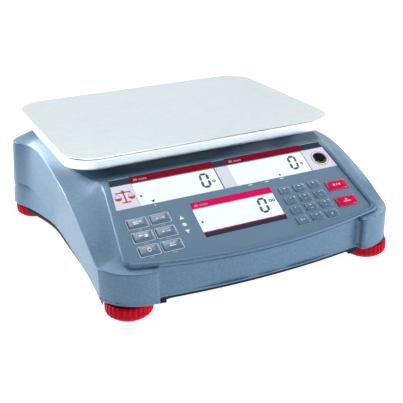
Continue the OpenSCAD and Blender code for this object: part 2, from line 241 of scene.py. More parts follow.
def mathOf(tree, operation, *sources, clamp=False):
    node = tree.nodes.new("ShaderNodeMath")
    node.operation = operation
    node.use_clamp = clamp
    for socket, source in zip(node.inputs, sources):
        if isinstance(source, (int, float)):
            socket.default_value = source
        else:
            tree.links.new(source, socket)
    return node.outputs[0]


def remap(tree, source, fromMin, fromMax, toMin, toMax):
    limits = {"From Min": fromMin, "From Max": fromMax, "To Min": toMin, "To Max": toMax}
    node = addNode(tree, "MapRange", limits)
    tree.links.new(source, node.inputs["Value"])
    return node.outputs["Result"]


def flakeGroup():  # metal flakes in paint: bright and dark specks over a base colour
    group, inside, outside = newGroup("metal flakes",
        [("Color", "Color", (0.3, 0.4, 0.5, 1)), ("Flake Size", "Float", 0.7), ("Strength", "Float", 0.2),
         ("Roughness", "Float", 0.4)],
        [("Color", "Color"), ("Roughness", "Float"), ("Height", "Float")])
    place = addNode(group, "TexCoord")
    scale = mathOf(group, "DIVIDE", 1000, inside.outputs["Flake Size"])
    cells = addNode(group, "TexVoronoi", feature="F1")
    clouds = addNode(group, "TexNoise", {"Scale": 14.0, "Detail": 3.0})
    for node in (cells, clouds):
        group.links.new(place.outputs["Object"], node.inputs["Vector"])
    group.links.new(scale, cells.inputs["Scale"])
    split = addNode(group, "SeparateColor")
    group.links.new(cells.outputs["Color"], split.inputs[0])
    speck = remap(group, split.outputs[0], 0, 1, -1, 1)
    gain = mathOf(group, "MULTIPLY_ADD", speck, inside.outputs["Strength"], 1.0)
    drift = remap(group, clouds.outputs["Fac"], 0.3, 0.7, 0.97, 1.03)
    whole = mathOf(group, "MULTIPLY", gain, drift)
    shade = addNode(group, "VectorMath", operation="SCALE")
    group.links.new(inside.outputs["Color"], shade.inputs[0])
    group.links.new(whole, shade.inputs["Scale"])
    group.links.new(shade.outputs[0], outside.inputs["Color"])
    rough = mathOf(group, "MULTIPLY_ADD", split.outputs[1], 0.14, inside.outputs["Roughness"])
    group.links.new(rough, outside.inputs["Roughness"])
    group.links.new(split.outputs[2], outside.inputs["Height"])
    return group


def mouldGroup():  # moulded plastic and rubber: faint clouds, fine grain and handling marks
    group, inside, outside = newGroup("moulded grain",
        [("Color", "Color", (0.1, 0.1, 0.1, 1)), ("Grain Size", "Float", 0.5), ("Contrast", "Float", 0.1),
         ("Roughness", "Float", 0.5), ("Rub", "Float", 0.1)],
        [("Color", "Color"), ("Roughness", "Float"), ("Height", "Float")])
    place = addNode(group, "TexCoord")
    scale = mathOf(group, "DIVIDE", 1000, inside.outputs["Grain Size"])
    grain = addNode(group, "TexNoise", {"Detail": 2.0, "Roughness": 0.6})
    clouds = addNode(group, "TexNoise", {"Scale": 22.0, "Detail": 4.0, "Roughness": 0.6})
    for node in (grain, clouds):
        group.links.new(place.outputs["Object"], node.inputs["Vector"])
    group.links.new(scale, grain.inputs["Scale"])
    fine = mathOf(group, "MULTIPLY", grain.outputs["Fac"], 0.4)
    both = mathOf(group, "MULTIPLY_ADD", clouds.outputs["Fac"], 0.6, fine)
    spread = remap(group, both, 0.3, 0.7, -1, 1)
    shift = mathOf(group, "MULTIPLY_ADD", spread, inside.outputs["Contrast"], 1.0)
    shade = addNode(group, "VectorMath", operation="SCALE")
    group.links.new(inside.outputs["Color"], shade.inputs[0])
    group.links.new(shift, shade.inputs["Scale"])
    group.links.new(shade.outputs[0], outside.inputs["Color"])
    rub = remap(group, clouds.outputs["Fac"], 0.35, 0.7, -0.5, 0.5)
    rough = mathOf(group, "MULTIPLY_ADD", rub, inside.outputs["Rub"], inside.outputs["Roughness"], clamp=True)
    group.links.new(rough, outside.inputs["Roughness"])
    group.links.new(grain.outputs["Fac"], outside.inputs["Height"])
    return group


def brushGroup():  # metal brushed along one axis: long thin streaks and wide soft bands
    group, inside, outside = newGroup("brushed lines",
        [("Color", "Color", (0.8, 0.8, 0.8, 1)), ("Stretch", "Vector", (1, 40, 40)),
         ("Line Scale", "Float", 60.0), ("Contrast", "Float", 0.08), ("Roughness", "Float", 0.3)],
        [("Color", "Color"), ("Roughness", "Float"), ("Height", "Float")])
    place = addNode(group, "TexCoord")
    pull = addNode(group, "VectorMath", operation="MULTIPLY")
    group.links.new(place.outputs["Object"], pull.inputs[0])
    group.links.new(inside.outputs["Stretch"], pull.inputs[1])
    lines = addNode(group, "TexNoise", {"Detail": 5.0, "Roughness": 0.7})
    group.links.new(pull.outputs[0], lines.inputs["Vector"])
    group.links.new(inside.outputs["Line Scale"], lines.inputs["Scale"])
    clouds = addNode(group, "TexNoise", {"Scale": 9.0, "Detail": 2.0})
    group.links.new(place.outputs["Object"], clouds.inputs["Vector"])
    streak = remap(group, lines.outputs["Fac"], 0.3, 0.7, -1, 1)
    soft = remap(group, clouds.outputs["Fac"], 0.3, 0.7, -0.3, 0.3)
    shift = mathOf(group, "MULTIPLY_ADD", mathOf(group, "ADD", streak, soft), inside.outputs["Contrast"], 1.0)
    shade = addNode(group, "VectorMath", operation="SCALE")
    group.links.new(inside.outputs["Color"], shade.inputs[0])
    group.links.new(shift, shade.inputs["Scale"])
    group.links.new(shade.outputs[0], outside.inputs["Color"])
    rough = mathOf(group, "MULTIPLY_ADD", streak, 0.06, inside.outputs["Roughness"])
    group.links.new(rough, outside.inputs["Roughness"])
    group.links.new(lines.outputs["Fac"], outside.inputs["Height"])
    return group


flakes = flakeGroup()
moulded = mouldGroup()
brushed = brushGroup()


def newMaterial(name, group, values, bump=0.0, **surface):
    material = bpy.data.materials.new(name)
    material.use_nodes = True
    tree = material.node_tree
    shader = tree.nodes["Principled BSDF"]
    effect = tree.nodes.new("ShaderNodeGroup")
    effect.node_tree = group
    for key, value in values.items():
        effect.inputs[key].default_value = value
    tree.links.new(effect.outputs["Color"], shader.inputs["Base Color"])
    tree.links.new(effect.outputs["Roughness"], shader.inputs["Roughness"])
    if bump:
        relief = addNode(tree, "Bump", {"Strength": bump, "Distance": 0.0003})
        tree.links.new(effect.outputs["Height"], relief.inputs["Height"])
        tree.links.new(relief.outputs["Normal"], shader.inputs["Normal"])
    for key, value in surface.items():
        shader.inputs[key.replace("_", " ")].default_value = value
    return material


def plastic(name, color, rough, bump=0.15, grain=0.5, contrast=0.06, **surface):
    return newMaterial(name, moulded, {"Color": (*color, 1), "Grain Size": grain, "Contrast": contrast,
                                       "Roughness": rough, "Rub": 0.12}, bump, **surface)


def metal(name, color, rough, stretch=(1, 40, 40), contrast=0.08, bump=0.1, **surface):
    return newMaterial(name, brushed, {"Color": (*color, 1), "Stretch": stretch, "Contrast": contrast,
                                       "Roughness": rough}, bump, Metallic=1.0, **surface)


def clearGlass(name, color):
    material = bpy.data.materials.new(name)
    material.use_nodes = True
    shader = material.node_tree.nodes["Principled BSDF"]
    shader.inputs["Base Color"].default_value = (*color, 1)
    shader.inputs["Roughness"].default_value = 0.06
    shader.inputs["Alpha"].default_value = 0.08
    return material


paint = {"color": (0.105, 0.215, 0.34), "flake": 0.75, "strength": 0.16, "roughness": 0.42, "metallic": 0.2}
coverPaint = newMaterial("coverPaint", flakes, {"Color": (*paint["color"], 1), "Flake Size": paint["flake"],
                         "Strength": paint["strength"], "Roughness": paint["roughness"]}, 0.12,
                         Metallic=paint["metallic"], Coat_Weight=0.2, Coat_Roughness=0.25)
trayPlastic = plastic("trayPlastic", (0.010, 0.012, 0.015), 0.6, 0.4, 0.8, Specular_IOR_Level=0.2)
overlayFilm = plastic("overlayFilm", (0.145, 0.255, 0.38), 0.5, 0.08, 0.35, 0.04, Specular_IOR_Level=0.35)
darkFilm = plastic("darkFilm", (0.010, 0.026, 0.055), 0.5, 0.05, Specular_IOR_Level=0.25)
# painted light: the pale film has a faint glow of its own, so the pale fields, the level's rim and the unit
# field read brighter than printed film would under the lamps
glowingWhiteFilm = plastic("glowingWhiteFilm", (0.76, 0.76, 0.88), 0.45, 0.03, 0.5, 0.02, Specular_IOR_Level=0.3,
                    Emission_Color=(0.75, 0.75, 0.9, 1), Emission_Strength=0.12)
# painted light: the white numerals, signs, ticks and key outlines have a faint glow of their own, which
# printed marks don't have
glowingMarkWhite = plastic("glowingMarkWhite", (0.82, 0.88, 0.94), 0.4, 0.0, 0.5, 0.02, Emission_Color=(0.8, 0.9, 1, 1),
                    Emission_Strength=0.2)
lineFilm = plastic("lineFilm", (0.42, 0.54, 0.66), 0.35, 0.0, 0.5, 0.03)
headerRed = plastic("headerRed", (0.27, 0.0005, 0.016), 0.5, 0.03, 0.5, 0.05, Specular_IOR_Level=0.05)
brightRed = plastic("brightRed", (0.86, 0.002, 0.12), 0.5, 0.03, 0.5, 0.05, Specular_IOR_Level=0.05)
signPale = plastic("signPale", (0.55, 0.32, 0.38), 0.5, 0.0, 0.5, 0.03, Specular_IOR_Level=0.1)
signRed = plastic("signRed", (0.55, 0.008, 0.02), 0.35, 0.0, 0.5, 0.03)
segmentInk = plastic("segmentInk", (0.004, 0.004, 0.03), 0.5, 0.0, 0.5, 0.02, Specular_IOR_Level=0.1)
lcdFace = plastic("lcdFace", (0.74, 0.86, 0.85), 0.35, 0.0, 0.6, 0.015, Emission_Color=(0.80, 1.0, 0.98, 1),
                  Emission_Strength=0.4)
keyCap = plastic("keyCap", (0.13, 0.225, 0.34), 0.25, 0.03, 0.4, 0.04, Coat_Weight=0.9, Coat_Roughness=0.12)
keyRed = plastic("keyRed", (0.80, 0.004, 0.075), 0.2, 0.03, 0.4, 0.05, Coat_Weight=0.8, Coat_Roughness=0.08)
footRed = plastic("footRed", (0.56, 0.0002, 0.016), 0.4, 0.15, 0.6, 0.10, Specular_IOR_Level=0.08)
lockRed = plastic("lockRed", (0.40, 0.004, 0.02), 0.35, 0.1, 0.6, 0.08)
blackRubber = plastic("blackRubber", (0.018, 0.018, 0.02), 0.75, 0.5, 0.7, 0.12)
greySilicone = plastic("greySilicone", (0.10, 0.10, 0.11), 0.65, 0.2)
boardGreen = plastic("boardGreen", (0.012, 0.085, 0.035), 0.35, 0.1, 1.2, 0.25, Coat_Weight=0.3)
socketBlack = plastic("socketBlack", (0.012, 0.012, 0.013), 0.4, 0.2)
batteryCase = plastic("batteryCase", (0.02, 0.02, 0.024), 0.5, 0.3)
ribbonGrey = plastic("ribbonGrey", (0.30, 0.30, 0.32), 0.5, 0.2)
lampWhite = plastic("lampWhite", (0.86, 0.92, 0.97), 0.25, 0.0)
vialDark = plastic("vialDark", (0.006, 0.010, 0.009), 0.06, 0.0, 0.5, 0.03, Coat_Weight=1.0)
vialGreen = plastic("vialGreen", (0.05, 0.22, 0.03), 0.12, 0.0, 0.5, 0.1, Coat_Weight=1.0)
panSteel = metal("panSteel", (0.83, 0.93, 0.97), 0.30, (1, 55, 12), 0.03, 0.05)
castAlloy = metal("castAlloy", (0.52, 0.53, 0.55), 0.5, (30, 30, 30), 0.12, 0.4)
cellAlloy = metal("cellAlloy", (0.70, 0.71, 0.73), 0.35, (8, 1, 40), 0.08, 0.1)
screwSteel = metal("screwSteel", (0.62, 0.62, 0.64), 0.3, (20, 20, 4), 0.1, 0.1)
screwBlack = metal("screwBlack", (0.05, 0.05, 0.055), 0.4, (20, 20, 4), 0.1, 0.1)
portMetal = metal("portMetal", (0.66, 0.66, 0.68), 0.22, (10, 40, 10), 0.06, 0.05)
brassMetal = metal("brassMetal", (0.66, 0.45, 0.16), 0.3, (20, 20, 6), 0.1, 0.1)
windowGlass = clearGlass("windowGlass", (0.97, 1.0, 1.0))
print("materials made:", len(bpy.data.materials))


def onPanel(x, s, h=0.0):  # a point on the sloped panel, in frame millimetres
    return panelMatrix @ Vector((x, s, h))


def panelBox(name, above=None):  # extent of a node along the panel's own axes
    inverse = panelMatrix.inverted()
    points = [inverse @ (v.co / mm) for v in nodes[name].data.vertices]
    if above is not None:
        points = [p for p in points if p.z > above]
    return [min(p[k] for p in points) for k in range(3)], [max(p[k] for p in points) for k in range(3)]


def overlayHalf(s):  # half width of the overlay at s
    return lerp(overlay["low"], overlay["top"], s / overlay["length"])


def alongPath(path, share):  # the point at a share of a path's length
    steps = [(Vector(b) - Vector(a)).length for a, b in zip(path, path[1:])]
    left = clamp01(share) * sum(steps)
    for a, b, step in zip(path, path[1:], steps):
        if left <= step + 1e-9:
            return Vector(a).lerp(Vector(b), left / max(step, 1e-9))
        left -= step
    return Vector(path[-1])


def roundCorner(before, corner, after, radius, steps=8):  # a corner of a flat path as an arc
    a = (Vector(before) - Vector(corner)).normalized()
    b = (Vector(after) - Vector(corner)).normalized()
    half = math.acos(max(-1, min(1, a.dot(b)))) / 2
    reach = radius / math.tan(half)
    centre = Vector(corner) + (a + b).normalized() * (radius / math.sin(half))
    start = Vector(corner) + a * reach - centre
    end = Vector(corner) + b * reach - centre
    turn = math.pi - 2 * half
    points = []
    for k in range(steps + 1):
        t = k / steps
        points.append(centre + (start * math.sin((1 - t) * turn) + end * math.sin(t * turn)) / math.sin(turn))
    return points


def fillRegion(outer, holes, z):  # flat triangles inside an outline and outside its holes
    bm = bmesh.new()
    edges = []
    for loop in [outer] + holes:
        verts = [bm.verts.new((p[0], p[1], z)) for p in loop]
        edges += [bm.edges.new((verts[i], verts[(i + 1) % len(verts)])) for i in range(len(verts))]
    bmesh.ops.triangle_fill(bm, use_beauty=True, use_dissolve=False, edges=edges)
    bm.verts.index_update()
    points = [tuple(v.co) for v in bm.verts]
    faces = [tuple(v.index for v in f.verts) for f in bm.faces]
    bm.free()
    return points, faces


def holedPlate(outer, holes, low, high):  # a flat plate with holes through it
    points, faces = fillRegion(outer, holes, low)
    lift = len(points)
    points = points + [(x, y, high) for x, y, z in points]
    solid = [tuple(reversed(f)) for f in faces] + [tuple(v + lift for v in f) for f in faces]
    start = 0
    for loop in [outer] + holes:
        count = len(loop)
        for i in range(count):
            a, b = start + i, start + (i + 1) % count
            solid.append((a, b, b + lift, a + lift))
        start += count
    return points, solid


def circleLoop(cx, cy, radius, steps=48):
    return [(cx + radius * math.cos(2 * math.pi * k / steps), cy + radius * math.sin(2 * math.pi * k / steps))
            for k in range(steps)]


# the moulded cover
footFront = nodeMiddle("foot_wheel_fr")
footBack = nodeMiddle("foot_wheel_br")
wheelLow, wheelHigh = nodeBox("foot_wheel_fr")
wheelRadius = (wheelHigh[0] - wheelLow[0]) / 2
coverLow, coverHigh = nodeBox("top_housing")
panMiddle = nodeMiddle("weighing_pan")
cover = {
    "bottom": coverLow[2], "deck": 97.0, "rim": 48.0,
    "postRadius": 44.4, "postTurn": 114.0, "postEdge": 19.6, "frontY": footFront[1] - wheelRadius - 3.0,
    "postInner": 109.0, "notchFillet": 3.0, "faceY": footFront[1] - wheelRadius - 3.0 + 8.7, "bow": 8.0,
    "bezelSide": 6.5, "bezelFront": 4.6, "bezelBase": -0.9, "bezelCorner": 7.0,
    "backY": coverHigh[1], "flareRadius": coverHigh[1] - footBack[1],
    "slopeEndY": -69.84, "crestY": -62.0, "crestRise": 0.53, "thickness": 1.9, "edge": 1.1,
    # half widths and heights along the side: (y, value)
    "lowSide": [(-140, 155.8), (-123, 154.2), (-102, 152.6), (-77, 151.4), (-40, 150.3), (-9, 149.4),
                (25, 149.6), (45, 152.0), (61, 155.6), (75, 159.2), (86, 162.8), (97, 167.4), (105, 171.2),
                (112, 173.2), (115.7, 173.6)],
    "creaseSide": [(-140, 155.7), (-120, 156.3), (-94, 156.5), (-60, 156.3), (-28, 155.5), (0, 153.8),
                   (25, 152.2), (50, 151.3), (70, 151), (84, 152), (92, 153.4), (98, 155.6), (104, 159),
                   (108, 162), (112, 165.3), (115.7, 167.2)],
    "creaseHeight": [(-140, 48), (-136, 49.6), (-128, 53.8), (-115, 61), (-91, 71.5), (-60, 82.2),
                     (-44, 86.4), (-28, 88.4), (0, 88.8), (60, 88.3), (115.7, 87.6)],
    "hollow": [(-136, 0.55), (-60, 0.5), (0, 0.3), (60, -0.1), (115.7, -0.2)],
    "recess": [(7, 0), (25, 0.6), (45, 1.1), (61, 2.6), (86, 3.8), (100, 3.0), (108, 2.0), (112, 1.4),
               (115.7, 1.2)],
    "recessHeight": [(7, 19.5), (20, 21), (32, 24), (50, 30), (66, 36), (78, 39.6), (88, 41.2),
                     (115.7, 41.5)],
    "deckSide": [(-69.84, 124.9), (-62, 127.5), (-45, 132.5), (-20, 137.5), (10, 140.5), (40, 141),
                 (115.7, 141)],
}


def faceAt(x):  # y of the front face beside the posts
    return cover["faceY"] - cover["bow"] * (1 - min(1, x / cover["postInner"]) ** 2)


def bezelCorners():  # the border's outer and inner edges round the lower right corner, as (x, s)
    wide = overlay["low"] + cover["bezelSide"]
    outer = [(x, -overlay["sag"] * (1 - (x / wide) ** 2) - cover["bezelFront"])
             for x in (103, 108, 113, 118, 123)]
    corner = (wide, -cover["bezelFront"])
    side = (overlayHalf(14) + cover["bezelSide"], 14)
    outer += [tuple(p) for p in roundCorner(outer[-1], corner, side, cover["bezelCorner"])]
    inner = [(x, -overlay["sag"] * (1 - (x / overlay["low"]) ** 2)) for x in (98, 103, 108, 113, 118, 123)]
    inner += [tuple(p) for p in roundCorner(inner[-1], (overlay["low"], 0), (overlayHalf(14), 14), 2.4)]
    return outer, inner


def coverStations():  # places round half the outline: low, crease, heights, inner base, overlay edge
    c = cover
    stations = []
    base = c["bezelBase"]

    def add(low, crease, zCrease, inner, edge=None, recess=0.0, zRecess=19.5):
        stations.append({"low": Vector(low), "crease": Vector(crease), "zCrease": zCrease, "inner": inner,
                         "edge": edge, "recess": recess, "zRecess": zRecess})

    for x in (0, 14, 28, 42, 56, 70, 82, 92, 99):
        place = (x, faceAt(x))
        wide = overlay["low"] + c["bezelSide"]
        s = -overlay["sag"] * (1 - (x / wide) ** 2) - c["bezelFront"]
        xEdge = x * overlay["low"] / wide
        edge = (xEdge, -overlay["sag"] * (1 - (xEdge / overlay["low"]) ** 2))
        add(place, place, planeZ(place[1]) - 1.0, (x, s), edge)
    # notch, post and its round corner
    r = c["notchFillet"]
    x0, y0 = c["postInner"], faceAt(c["postInner"] - r)
    yFront = c["frontY"]
    arcX, arcY = c["postTurn"], yFront + c["postRadius"]
    outline = [(103, faceAt(103))]
    quarter = (0, 0.4, 0.8, 1.2, math.pi / 2)
    outline += [(x0 - r + r * math.sin(a), y0 - r + r * math.cos(a)) for a in quarter]
    outline += [(x0 + r - r * math.cos(a), yFront + r - r * math.sin(a)) for a in quarter]
    sweep = 90 - c["postEdge"]
    outline += [(arcX + c["postRadius"] * math.cos(a), arcY + c["postRadius"] * math.sin(a))
                for a in [math.radians(-90 + sweep * k) for k in
                          (0, 0.08, 0.16, 0.25, 0.34, 0.43, 0.52, 0.61, 0.7, 0.79, 0.88, 0.95, 0.987, 1)]]
    outerPath, innerPath = bezelCorners()
    last = (c["creaseSide"][0][0] - 0.2 - panelOrigin.y + base * panelOut.y * -1) / panelUp.y
    outerPath.append((overlayHalf(last) + c["bezelSide"], last))
    innerPath.append((overlayHalf(last), last))
    lengths = [0.0]
    for a, b in zip(outline, outline[1:]):
        step = (Vector(b) - Vector(a)).length
        inNotch = abs(b[0] - x0) < r + 0.1 and b[1] < y0 + 0.1
        lengths.append(lengths[-1] + step * (0.35 if inNotch else 1.0))
    for place, at in zip(outline, lengths):
        share = at / lengths[-1]
        rise = ease((faceAt(103) - 1.5 - place[1]) / 5) if place[0] < x0 + r + 1 else 1.0
        zCrease = lerp(planeZ(faceAt(103)) - 1.0, c["rim"], rise)
        add(place, place, zCrease, tuple(alongPath(outerPath, share)), tuple(alongPath(innerPath, share)))
    # the side, from the post to the back corner
    sidePlaces = (-139.3, -136, -131, -124, -117, -110, -103, -96, -89, -83, -77, -73, c["slopeEndY"], -66,
                  -62, -56, -50, -44, -37, -30, -22, -14, -6, 2, 10, 18, 26, 34, 42, 50, 57, 64, 71, 77,
                  82, 87, 91, 95, 99, 103, 107, 110, 113)
    for y in sidePlaces:
        low = (alongCurve(c["lowSide"], y), y)
        crease = (alongCurve(c["creaseSide"], y), y)
        recess, zRecess = alongCurve(c["recess"], y), alongCurve(c["recessHeight"], y)
        if y <= c["slopeEndY"] + 0.01:
            s = (y - panelOrigin.y - base * panelOut.y) / panelUp.y
            add(low, crease, alongCurve(c["creaseHeight"], y), (overlayHalf(s) + c["bezelSide"], s),
                (overlayHalf(s), s))
        else:
            past = (y - c["slopeEndY"]) / (c["crestY"] - c["slopeEndY"])
            z = c["deck"] + c["crestRise"] * (1 - ease(past))
            add(low, crease, alongCurve(c["creaseHeight"], y), Vector((alongCurve(c["deckSide"], y), y, z)),
                None, recess, zRecess)
    for k in range(13):
        a = math.radians(7.5 * k)
        cosA, sinA = math.cos(a), math.sin(a)
        low = (footBack[0] + c["flareRadius"] * cosA, footBack[1] + c["flareRadius"] * sinA)
        crease = (146 + 21.2 * cosA, 116 + 22.4 * sinA)
        add(low, crease, 87.6, Vector((127 + 14 * cosA, 116 + 14 * sinA, c["deck"])), None,
            1.2 * (1 - k / 12), lerp(41.5, 24, k / 12))
    for x in (120, 105, 76, 47, 24, 0):
        add((x, c["backY"]), (x, 138.4), 87.6, Vector((x * 127 / 149.6, 130, c["deck"])), None, 0.0, 24)
    return stations


def stationRows(st):  # one section of the cover, from its lower edge to the deck or the border
    c = cover
    onSlope = st["edge"] is not None
    inner = onPanel(st["inner"][0], st["inner"][1], c["bezelBase"]) if onSlope else st["inner"]
    low, crease, zCrease = st["low"], st["crease"], st["zCrease"]
    inward = Vector((inner.x, inner.y)) - crease
    reach = inward.length
    inward.normalize()
    share = (st["zRecess"] - c["bottom"]) / (zCrease - c["bottom"])
    middle = low.lerp(crease, share)
    scoop = middle + inward * st["recess"]
    rows = [(*(low + inward * 0.6), c["bottom"]), (*low, c["bottom"] + 0.8),
            (*low.lerp(scoop, 0.4), lerp(c["bottom"], st["zRecess"], 0.6)),
            (*low.lerp(scoop, 0.8), lerp(c["bottom"], st["zRecess"], 0.84)),
            (*scoop, st["zRecess"] - 0.9), (*middle, st["zRecess"])]
    top = zCrease - (1.4 if onSlope else c["edge"])
    for f in (0.3125, 0.55, 0.8):
        rows.append((*middle.lerp(crease, f), lerp(st["zRecess"], zCrease, f)))
    rows[-1] = (*rows[-1][:2], min(rows[-1][2], top - 0.6))
    edge = min(c["edge"], 0.75 * reach)
    wStart = 1 - edge / reach
    hollow = alongCurve(c["hollow"], crease.y)
    zOf = lambda w: inner.z - (inner.z - zCrease) * lerp(w, w * (2 - w), hollow)
    p0 = Vector((crease.x, crease.y, top))
    p1 = Vector((crease.x, crease.y, zCrease))
    p2 = Vector((*(crease + inward * edge), zOf(wStart)))
    for t in (0, 0.25, 0.5, 0.75, 1):
        rows.append(tuple(p0 * (1 - t) ** 2 + p1 * 2 * t * (1 - t) + p2 * t * t))
    for f in (0.86, 0.72, 0.58, 0.44, 0.3, 0.16, 0.06):
        w = wStart * f
        flat = Vector((inner.x, inner.y)).lerp(crease, w)
        rows.append((flat.x, flat.y, zOf(w)))
    rows.append(tuple(inner))
    return rows


def bezelRows(st):  # the raised border's section, from its outer base to the overlay's edge
    s = st["inner"][1]
    fade = ease((overlay["length"] - s) / 12)
    rows = []
    for share, h in ((1.0, -0.9), (0.97, 0.1), (0.9, 0.9), (0.78, 1.45), (0.6, 1.75), (0.38, 1.8),
                     (0.2, 1.6), (0.09, 1.15), (0.035, 0.5), (0.025, -1.2)):
        x = lerp(st["edge"][0], st["inner"][0], share)
        along = lerp(st["edge"][1], st["inner"][1], share)
        rows.append(tuple(onPanel(x, along, -0.9 + (h + 0.9) * fade if h > -0.9 else h)))
    return rows


def buildCover():
    half = coverStations()
    columns = [stationRows(st) for st in half]
    mirror = lambda rows: [(-x, y, z) for x, y, z in rows]
    loop = columns + [mirror(rows) for rows in reversed(columns[1:-1])]
    count, depth = len(loop), len(columns[0])
    points = [p for rows in loop for p in rows]
    faces = []
    for i in range(count):
        j = (i + 1) % count
        opening = i < len(half) - 1 and half[i]["low"].x in (105, 76)
        onBack = i < len(half) - 1 and half[i]["low"].y > cover["backY"] - 0.01
        for k in range(depth - 1):
            if opening and onBack and k == 5:  # the sockets' opening
                continue
            faces.append((i * depth + k, j * depth + k, j * depth + k + 1, i * depth + k + 1))
    shapes = [(points, faces)]
    sloped = [st for st in half if st["edge"] is not None]
    border = [bezelRows(st) for st in sloped]
    border = [mirror(rows) for rows in reversed(border[1:])] + border
    deep = len(border[0])
    shapes.append(([p for rows in border for p in rows],
                   [(i * deep + k, (i + 1) * deep + k, (i + 1) * deep + k + 1, i * deep + k + 1)
                    for i in range(len(border) - 1) for k in range(deep - 1)]))
    flat = [st["inner"] for st in half if st["edge"] is None]
    crest = [p for p in flat if p.y <= cover["crestY"] + 0.01]
    right = [Vector(p) for p in reversed(border[-1][:-1])]
    first = [(-p.x, p.y, p.z) for p in reversed(right)] + [tuple(p) for p in right]
    strip = first + [tuple(crest[0]), (-crest[0].x, crest[0].y, crest[0].z)]
    shapes.append((strip, [tuple(range(len(strip)))]))
    for a, b in zip(crest, crest[1:]):
        shapes.append(([(-a.x, a.y, a.z), tuple(a), tuple(b), (-b.x, b.y, b.z)], [(0, 1, 2, 3)]))
    rim = [p for p in flat if p.y >= cover["crestY"] - 0.01]
    outer = [(p.x, p.y) for p in rim] + [(-p.x, p.y) for p in reversed(rim[:-1])]
    hub = nodeMiddle("transport_lock")
    stopLow, stopHigh = nodeBox("overload_stops")
    holes = [circleLoop(hub[0], hub[1], 22)]
    holes += [circleLoop(x, y, 6, 24) for x in (stopLow[0] + 5, stopHigh[0] - 5)
              for y in (stopLow[1] + 5, stopHigh[1] - 5)]
    shapes.append(fillRegion(outer, holes, cover["deck"]))
    shell = makePiece("coverShell", meshFrom("coverShell", *joined(shapes), sharp=40), coverPaint, "housing",
                      ["top_housing"])
    skin = shell.modifiers.new("wall", "SOLIDIFY")
    skin.thickness = cover["thickness"] * mm
    skin.offset = -1
    return shell


coverShell = buildCover()
# the cover's own sheet lies under the overlay, with the same openings
floorMesh = nodes["keypad_overlay"].data.copy()
floorMesh.transform(Matrix.Translation(-panelOut * 0.85 * mm))
floorMesh.materials.clear()
makePiece("panelFloor", floorMesh, coverPaint, "housing")
print("cover made:", len(coverShell.data.polygons), "faces")


# the tray's lip under the front face, deeper beside the posts
lip = {"setBack": 1.8, "depth": 1.8, "drop": 3.3, "turn": 93.0, "post": 104.0, "end": 109.6, "tuck": 3.2}


def buildTrayLip():
    bottom = cover["bottom"]
    deepest = nodeBox("base_tray")[0][2]
    places = [lip["turn"] * k / 14 for k in range(14)]
    places += [lerp(lip["turn"], lip["post"], k / 8) for k in range(9)] + [lip["end"]]
    loops = []
    for x in [-x for x in reversed(places[1:])] + places:
        y = faceAt(abs(x)) + lip["setBack"]
        fall = clamp01((abs(x) - lip["turn"]) / (lip["post"] - lip["turn"]))
        z = lerp(bottom - lip["drop"], deepest, 1 - math.sqrt(1 - fall * fall))
        loops.append([(x, y, bottom + 0.5), (x, y, z + 0.4), (x, y + 0.4, z), (x, y + lip["depth"], z),
                      (x, y + lip["depth"], bottom + 0.5)])
    makePiece("trayLip", meshFrom("trayLip", *stackLoops(loops)), trayPlastic, "housing")


def buildTray():  # the dark lower tray, tucked inside the cover's skirt
    mesh = nodes["base_tray"].data.copy()
    mesh.materials.clear()
    for vertex in mesh.vertices:
        x, y, z = vertex.co / mm
        byFoot = any(math.hypot(abs(x) - f[0], y - f[1]) < wheelRadius + 2.2 for f in (footFront, footBack))
        if z < cover["bottom"] - 0.5 or (byFoot and z < wheelHigh[2]):
            continue
        vertex.co.x -= math.copysign(lip["tuck"] * ease((abs(x) - 118) / 16), x) * mm
    tray = makePiece("trayShell", mesh, trayPlastic, "housing", ["base_tray"])
    softenEdges(tray, 0.5)


buildTrayLip()
buildTray()


# weighing pan
def buildPan():
    low, high = nodeBox("weighing_pan")
    pan = {"corner": 34.0, "sheet": 1.2, "edge": 1.5, "lipDrop": 3.4, "groove": 0.35, "lean": 0.8}
    w, d, top, hem = high[0] - low[0], high[1] - low[1], high[2], low[2]
    s, r = pan["sheet"], pan["corner"]
    g, lean = pan["groove"], pan["lean"]
    lipLow = top - pan["lipDrop"]
    levels = [(s + 3, top - s), (s + 1.6, top - s - 0.4), (s + 0.9, top - s - 1.4),
              (s + 0.9 + lean, hem + 1.0), (s + 0.6 + lean, hem + 0.3), (0.9 + lean, hem),
              (0.4 + lean, hem + 0.25), (0.15 + lean, hem + 0.8)]
    levels += [(lerp(lean, g, k / 4), lerp(hem + 1.4, lipLow - 0.35, k / 4)) for k in range(5)]
    levels += [(g + 0.2, lipLow - 0.2), (g + 0.2, lipLow + 0.05), (0, lipLow + 0.25)]
    levels += [(pan["edge"] * (1 - math.cos(a)), top - pan["edge"] * (1 - math.sin(a)))
               for a in [math.radians(15 * k) for k in range(7)]]
    levels += [(4, top), (14, top)]
    shape = rectStack([(w - 2 * inset, d - 2 * inset, max(r - inset, 2), z) for inset, z in levels],
                      (panMiddle[0], panMiddle[1]), 14)
    mesh = meshFrom("panTop", *shape, sharp=50)
    makePiece("panTop", mesh, panSteel, "pan", ["weighing_pan"])


buildPan()
print("pan made")


# levelling feet
foot = {"ribs": 28, "depth": 1.1, "stepsPerRib": 10}


